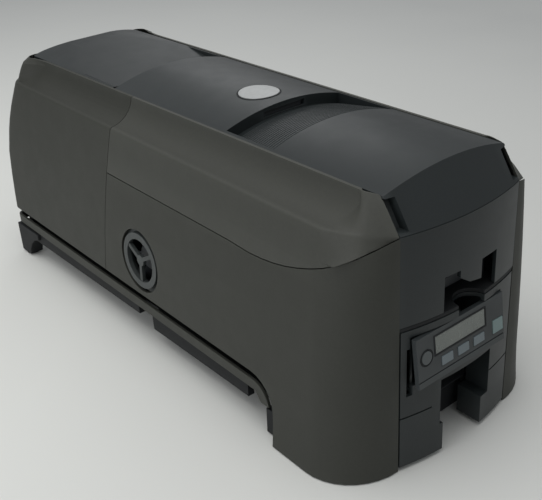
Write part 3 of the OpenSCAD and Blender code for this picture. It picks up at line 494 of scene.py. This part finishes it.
def softCopy(node, radius, sharp, smooth):
    takeOnly(nodes[node])
    ops.object.duplicate()
    piece = bpy.context.object
    ops.object.parent_clear(type="CLEAR_KEEP_TRANSFORM")
    for mark in [key for key in piece.keys() if key.startswith("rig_")]:
        del piece[mark]
    if piece.data.has_custom_normals:
        ops.mesh.customdata_custom_splitnormals_clear()
    editAll(piece)
    ops.mesh.select_mode(type="VERT")
    ops.mesh.select_all(action="SELECT")
    ops.mesh.remove_doubles(threshold=cleanUp["weld"] / 1000)
    if node not in cleanUp["notDissolved"]:
        ops.mesh.select_all(action="SELECT")
        ops.mesh.dissolve_limited(angle_limit=math.radians(cleanUp["flat"]))
    ops.object.mode_set(mode="OBJECT")
    roundEdges(piece, radius / 1000, sharp)
    smoothOff(piece, smooth)
    return finishPiece(piece, node + "_moulded", bodyOf(node), lookOf(node), (node,))


mouldings = [softCopy(node, *edges) for node, edges in softEdges.items()]
print("mouldings rounded:", len(mouldings), "faces:", sum(len(m.data.polygons) for m in mouldings))


# fine ribs on the floor of the front recess

def placedBy(origin, across, up):
    # a place in metres, and the turn whose X axis is across and whose Y axis is up
    turn = Matrix((across, up, across.cross(up))).transposed()
    return Vector(origin) / 1000, turn.to_euler()


def copyAlong(piece, step, count):
    copies = [piece]
    for _ in range(count - 1):
        takeOnly(copies[-1])
        ops.object.duplicate()
        ops.transform.translate(value=step)
        copies.append(bpy.context.object)
    return joinAll(copies)


# the lid's crown, as in the CAD: height of its ridge and radius across the machine, in mm
lidCrown = {"top": 222.7, "radius": 197.9}

recessRibs = {
    # in mm and degrees; flush: where the floor of the recess meets the crown, from the middle
    # slope: of that floor; first, pitch: along it; reach: how far a rib goes to each side
    "flush": -140.0, "slope": 8.5, "first": 9.0, "pitch": 3.0, "count": 16, "width": 0.9, "height": 0.34,
    "rounding": 0.18, "reach": 56.2, "steps": 24, "weld": 0.001}


def makeRecessRibs(r):
    slope = math.radians(r["slope"])
    along = Vector((0, math.cos(slope), -math.sin(slope)))
    up = Vector((0, math.sin(slope), math.cos(slope)))
    start = Vector((0, r["flush"], lidCrown["top"])) + along * r["first"]
    centre = start - up * lidCrown["radius"]
    swing = math.asin(r["reach"] / lidCrown["radius"])
    lean = up * math.cos(swing) - Vector((1, 0, 0)) * math.sin(swing)
    place, turn = placedBy(centre + lean * lidCrown["radius"], along, lean)
    dropSelection()
    ops.mesh.primitive_plane_add(size=0.001, location=place, rotation=turn)
    rib = bpy.context.object
    rib.scale = (r["width"], r["height"] * 2, 1)
    ops.object.transform_apply(location=False, rotation=False, scale=True)
    settle(rib)
    editAll(rib)
    ops.mesh.spin(steps=r["steps"], angle=-2 * swing, center=centre / 1000, axis=along)
    ops.mesh.select_all(action="SELECT")
    ops.mesh.remove_doubles(threshold=r["weld"] / 1000)
    ops.mesh.fill_holes(sides=4)
    ops.mesh.select_all(action="SELECT")
    ops.mesh.normals_make_consistent(inside=False)
    ops.object.mode_set(mode="OBJECT")
    roundEdges(rib, r["rounding"] / 1000, 50, 1)
    ribs = copyAlong(rib, along * r["pitch"] / 1000, r["count"])
    smoothOff(ribs, 40)
    return finishPiece(ribs, "recessRibs", bodyOf("lid_top"), looks["blackMoulding"])


makeRecessRibs(recessRibs)
print("recess ribs made")


# a groove line round the badge

badgeRing = {
    # in mm: a short tube, trimmed by two rods that lie along the crown's axis
    "y": -49.0, "inner": 16.75, "outer": 18.0, "proud": 0.22, "sunk": 0.5, "tube": 8, "drill": 20,
    "outerLong": 60, "innerLong": 70, "rodPoints": 720}


def cutBy(piece, tool, operation):
    takeOnly(piece)
    cut = piece.modifiers.new("cut", "BOOLEAN")
    cut.operation = operation
    cut.solver = "EXACT"
    cut.object = tool
    ops.object.modifier_apply(modifier=cut.name)
    takeOnly(tool)
    ops.object.delete()


def addRod(radius, depth, place, turn=(0, 0, 0), points=96):
    dropSelection()
    ops.mesh.primitive_cylinder_add(vertices=points, radius=radius / 1000, depth=depth / 1000,
                                    location=[v / 1000 for v in place], rotation=turn)
    return bpy.context.object


def makeBadgeRing(r):
    middle = (0, r["y"], lidCrown["top"])
    ring = addRod(r["outer"], r["tube"], middle)
    cutBy(ring, addRod(r["inner"], r["drill"], middle), "DIFFERENCE")
    axis = (0, r["y"], lidCrown["top"] - lidCrown["radius"])
    lying = (math.radians(90), 0, 0)
    outer = addRod(lidCrown["radius"] + r["proud"], r["outerLong"], axis, lying, r["rodPoints"])
    cutBy(ring, outer, "INTERSECT")
    inner = addRod(lidCrown["radius"] - r["sunk"], r["innerLong"], axis, lying, r["rodPoints"])
    cutBy(ring, inner, "DIFFERENCE")
    smoothOff(ring, 30)
    return finishPiece(ring, "badgeRing", bodyOf("badge"), looks["innerBlack"])


makeBadgeRing(badgeRing)
print("badge ring made")


# display panel details: lens frame and the ring round the power key

panelFace = {
    # in mm and degrees, as in the CAD; foot: lower edge of the leaning panel
    # lens: left, right, low and high edge on the panel's face; power: the key's middle there
    "foot": (0.0, -269.0, 74.0), "lean": 6.75, "lens": (-32.4, 19.5, 20.0, 33.4), "rim": 1.3, "proud": 0.35,
    "sunk": 0.1, "rounding": 0.12, "power": (-41.5, 21.5), "ring": 6.0, "ringWidth": 0.5,
    "ringFlat": 0.6, "ringLift": 0.05}


def panelPlace(x, z, out):
    # a place on the panel's face, and the turn whose X axis is the machine's and whose Y axis runs up it
    lean = math.radians(panelFace["lean"])
    up = Vector((0, math.sin(lean), math.cos(lean)))
    outward = Vector((0, -math.cos(lean), math.sin(lean)))
    place = Vector(panelFace["foot"]) + Vector((x, 0, 0)) + up * z + outward * out
    return placedBy(place, Vector((1, 0, 0)), up)


def makeLensFrame(f):
    x0, x1, z0, z1 = f["lens"]
    centre, turn = panelPlace((x0 + x1) / 2, (z0 + z1) / 2, -f["sunk"])
    dropSelection()
    ops.mesh.primitive_plane_add(size=0.001, location=centre, rotation=turn)
    rim = bpy.context.object
    rim.scale = (x1 - x0 + 2 * f["rim"], z1 - z0 + 2 * f["rim"], 1)
    ops.object.transform_apply(location=False, rotation=False, scale=True)
    editAll(rim)
    ops.mesh.inset(thickness=f["rim"] / 1000, use_even_offset=True)
    ops.mesh.delete(type="FACE")
    ops.mesh.select_all(action="SELECT")
    ops.object.mode_set(mode="OBJECT")
    takeOnly(rim)
    solid = rim.modifiers.new("thickness", "SOLIDIFY")
    solid.thickness = (f["proud"] + f["sunk"]) / 1000
    solid.offset = 1
    ops.object.modifier_apply(modifier=solid.name)
    roundEdges(rim, f["rounding"] / 1000, 50, 1)
    smoothOff(rim, 40)
    return finishPiece(rim, "lensFrame", bodyOf("display_bezel"), looks["innerBlack"])


def makePowerRing(f):
    centre, turn = panelPlace(*f["power"], f["ringLift"])
    dropSelection()
    ops.mesh.primitive_torus_add(location=centre, rotation=turn, major_segments=64, minor_segments=10,
                                 major_radius=f["ring"] / 1000, minor_radius=f["ringWidth"] / 1000)
    ring = bpy.context.object
    ring.scale = (1, 1, f["ringFlat"])
    ops.object.transform_apply(location=False, rotation=False, scale=True)
    smoothOff(ring, 60, False)
    return finishPiece(ring, "powerRing", bodyOf("display_bezel"), looks["innerBlack"])


makeLensFrame(panelFace)
makePowerRing(panelFace)
print("display details made")


# screws on the rear panel

panelScrews = {
    # in mm; places: across and up on the rear panel; y: the face that the heads sit on
    "places": ((-66.0, 62.0), (66.0, 62.0), (-66.0, 93.0), (66.0, 93.0)), "y": 264.0, "radius": 2.4,
    "head": 1.1, "sunk": 0.05, "slot": 0.7, "slotLong": 3.2, "slotDeep": 0.6, "step": 0.4, "dome": 0.15}


def makeScrew(x, z, f):
    middle = (x, f["y"] + f["head"] / 2 - f["sunk"], z)
    head = addRod(f["radius"], f["head"], middle, (math.radians(90), 0, 0), 32)
    editAll(head)
    pickFaces(head, lambda centre, normal: normal.z < -0.9)  # the end that faces the back
    ops.mesh.inset(thickness=f["step"] / 1000)
    ops.transform.translate(value=(0, f["dome"] / 1000, 0))
    ops.object.mode_set(mode="OBJECT")
    for wide, high in ((f["slot"], f["slotLong"]), (f["slotLong"], f["slot"])):
        dropSelection()
        face = (x / 1000, (f["y"] + f["head"]) / 1000, z / 1000)
        ops.mesh.primitive_cube_add(size=0.001, location=face)
        slot = bpy.context.object
        slot.scale = (wide, 2 * f["slotDeep"], high)
        ops.object.transform_apply(location=False, rotation=False, scale=True)
        cutBy(head, slot, "DIFFERENCE")
    smoothOff(head, 30)
    return finishPiece(head, "panelScrew", bodyOf("rear_panel"), looks["brightSteel"])


for place, (x, z) in enumerate(panelScrews["places"]):
    makeScrew(x, z, panelScrews).name = "panelScrew" + str(place + 1)
print("rear screws made")


# the room: floor, lamps, camera

floorLook = {
    # the floor is painted with a pool of light: it has its lit near colour within the first fade distance of
    # its middle, and its dimmer far one past the second
    "radius": 9.0, "pooledLightTone": (0.72, 0.727, 0.703), "far": (0.47, 0.476, 0.47), "middle": (-0.45, 0.4, 0.0),
    "poolFade": (0.45, 1.45), "mottle": (0.7, 0.7, 0.68), "mottleScale": 5, "mottleAmount": 0.06,
    "rough": 0.75, "specular": 0.2}


def makeFloor(f):
    dropSelection()
    ops.mesh.primitive_circle_add(vertices=96, radius=f["radius"], fill_type="NGON", location=(0, 0, 0))
    floor = bpy.context.object
    floor.name = "studioFloor"
    look, tree, shader, coords = newMaterial("studioFloorPaint")
    distance = tree.nodes.new("ShaderNodeVectorMath")
    distance.operation = "DISTANCE"
    distance.inputs[1].default_value = f["middle"]
    tree.links.new(coords, distance.inputs[0])
    # painted light: the floor's colour darkens with distance from the middle, as light falling off would
    paintedLightFalloff = ranged(tree, distance.outputs["Value"], 0.0, 1.0, *f["poolFade"])
    mottle = ranged(tree, noise(tree, coords, f["mottleScale"]), 0.0, f["mottleAmount"])
    pooledLightPaint = blended(tree, paintedLightFalloff, f["pooledLightTone"], f["far"])
    painted(tree, shader, blended(tree, mottle, pooledLightPaint, f["mottle"]))
    shader.inputs["Roughness"].default_value = f["rough"]
    shader.inputs["Specular IOR Level"].default_value = f["specular"]
    floor.data.materials.append(look)


# the sky's strength goes from horizon to zenith while the view's direction climbs through rise
skyLook = {"tone": (0.93, 0.95, 0.96), "horizon": 0.20, "zenith": 0.74, "rise": (0.05, 0.95)}


def makeSky(f):
    world = bpy.data.worlds.new("softRoom")
    bpy.context.scene.world = world
    world.use_nodes = True
    tree = world.node_tree
    sky = tree.nodes["Background"]
    sky.inputs["Color"].default_value = (*f["tone"], 1)
    coords = tree.nodes.new("ShaderNodeTexCoord")
    split = tree.nodes.new("ShaderNodeSeparateXYZ")
    tree.links.new(coords.outputs["Generated"], split.inputs["Vector"])
    level = ranged(tree, split.outputs["Z"], f["horizon"], f["zenith"], *f["rise"])
    tree.links.new(level, sky.inputs["Strength"])


def addToScene(name, data):
    holder = bpy.data.objects.new(name, data)
    bpy.context.scene.collection.objects.link(holder)
    return holder


lampAim = (0, 0, 0.1)
roomLamps = {
    # name: place in metres, size, watts, colour
    "overhead": ((-0.35, -0.15, 1.7), 1.5, 13, (1.0, 0.99, 0.97)),
    "windowLeft": ((-1.9, -0.1, 0.6), 1.3, 9, (0.97, 0.98, 1.0)),
    "windowBack": ((1.15, 1.4, 0.95), 0.7, 1.1, (0.98, 0.99, 1.0)),
}


def hangLamp(name, place, size, watts, tint):
    lamp = bpy.data.lights.new(name, "AREA")
    lamp.shape = "DISK"
    lamp.size = size
    lamp.energy = watts
    lamp.color = tint
    holder = addToScene(name, lamp)
    holder.location = place
    holder.rotation_euler = (Vector(lampAim) - Vector(place)).to_track_quat("-Z", "Y").to_euler()


photoView = {
    # the camera of the photograph: place in metres, turn in degrees, lens and sensor in mm
    "place": (-0.42884, -0.60074, 0.45526), "turn": (61.6762, 3.2967, -39.7433), "lens": 60.549,
    "sensor": 36.0, "clip": (0.02, 40.0)}


def placeCamera(f):
    camera = bpy.data.cameras.new("photoCamera")
    camera.lens = f["lens"]
    camera.sensor_width = f["sensor"]
    camera.clip_start, camera.clip_end = f["clip"]
    viewer = addToScene("photoCamera", camera)
    viewer.location = f["place"]
    viewer.rotation_euler = [math.radians(a) for a in f["turn"]]
    bpy.context.scene.camera = viewer


makeFloor(floorLook)
makeSky(skyLook)
for name, lamp in roomLamps.items():
    hangLamp(name, *lamp)
placeCamera(photoView)
bpy.context.scene.view_settings.view_transform = "Standard"
print("room, lamps and camera placed")
